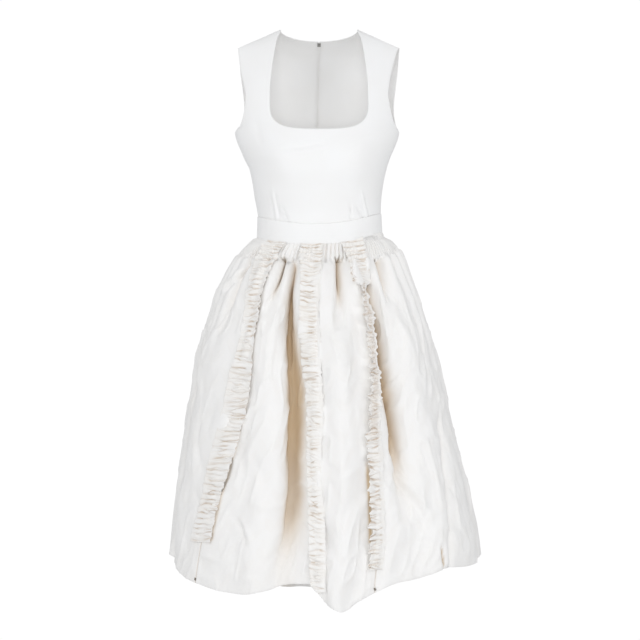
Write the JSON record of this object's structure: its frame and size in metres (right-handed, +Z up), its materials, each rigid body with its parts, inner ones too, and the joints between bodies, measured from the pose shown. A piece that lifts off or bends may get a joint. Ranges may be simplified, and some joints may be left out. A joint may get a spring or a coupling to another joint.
{
  "type": "dirndl dress",
  "caption": "Sleeveless dirndl in ivory cloth: fitted bodice with a deep square neckline, plain waistband, full gathered midi skirt with ruffle strips down the front.",
  "frame": {"origin": "midway between the two points where the shoulder seams meet the neck edge, where the dress hangs on its wearer's shoulders", "axes": "+Z up, -Y out of the front of the dress, +X to the viewer's right as the front is seen"},
  "size_m": [0.6387, 0.5212, 1.174],
  "materials": {
    "bodice_cloth": "smooth matte cotton satin, ivory",
    "skirt_cloth": "ivory jacquard with a soft raised leaf pattern",
    "ruffle_cloth": "ivory cloth, gathered",
    "zip_chain": "ivory nylon coil on woven tape",
    "zip_metal": "dull grey metal"
  },
  "bodies": {
    "dress": {"bodice_front": "bodice_cloth", "bodice_back_left": "bodice_cloth", "bodice_back_right": "bodice_cloth", "waistband_front": "bodice_cloth", "waistband_back_left": "bodice_cloth", "waistband_back_right": "bodice_cloth", "skirt_front_left": "skirt_cloth", "skirt_front_centre_left": "skirt_cloth", "skirt_front_centre_right": "skirt_cloth", "skirt_front_right": "skirt_cloth", "skirt_back_left": "skirt_cloth", "skirt_back_right": "skirt_cloth", "ruffle_left": "ruffle_cloth", "ruffle_centre": "ruffle_cloth", "ruffle_right": "ruffle_cloth", "zip_chain": "zip_chain", "zip_slider": "zip_metal"},
    "pull_tab": {"zip_pull_tab": "zip_metal"}
  },
  "joints": [
    {"name": "pull_tab_hinge", "type": "hinge", "parent": "dress", "child": "pull_tab", "pos_m": [-0.00001, 0.05633, -0.02103], "axis": [1, 0, 0], "range_deg": [0, 160]}
  ]
}
